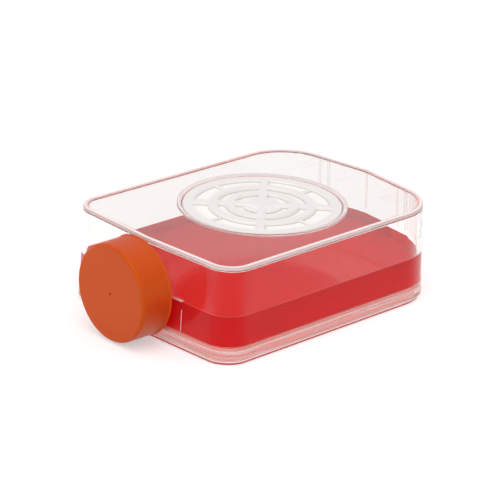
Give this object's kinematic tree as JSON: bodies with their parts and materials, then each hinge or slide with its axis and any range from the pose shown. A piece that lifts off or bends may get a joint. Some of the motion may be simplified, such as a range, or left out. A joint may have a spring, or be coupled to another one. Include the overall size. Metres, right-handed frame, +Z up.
{
  "type": "cell culture flask",
  "caption": "Clear flat culture flask with rounded corners, a round ribbed vent in its roof, a smooth screw cap on a short neck, and red liquid inside.",
  "frame": {"origin": "on the bench, under the middle of the flask's overall length and width", "axes": "+X away from the neck along the flask's length, +Y across its width, +Z up through the roof"},
  "size_m": [0.1199, 0.0794, 0.0338],
  "materials": {
    "clear_polystyrene": "clear moulded polystyrene",
    "white_membrane": "matte white breathable film",
    "orange_polyethylene": "satin moulded polyethylene",
    "white_seal_foam": "matte closed-cell foam",
    "red_medium": "clear red liquid"
  },
  "bodies": {
    "flask": {"upper_shell": "clear_polystyrene", "base_tray": "clear_polystyrene", "vent_grille": "clear_polystyrene", "vent_membrane": "white_membrane", "culture_medium": "red_medium"},
    "seal": {"cap_seal": "white_seal_foam"},
    "cap": {"screw_cap": "orange_polyethylene"}
  },
  "joints": [
    {"name": "cap_travel", "type": "slide", "parent": "flask", "child": "seal", "axis": [-1, 0, 0], "range_m": [0, 0.0101]},
    {"name": "cap_turn", "type": "hinge", "parent": "seal", "child": "cap", "pos_m": [-0.0539, 0, 0.0172], "axis": [-1, 0, 0], "range_deg": [0, 562.5]}
  ],
  "couplings": [
    {"joint": "cap_travel", "follows": "cap_turn", "m_per_rad": 0.0010186}
  ]
}
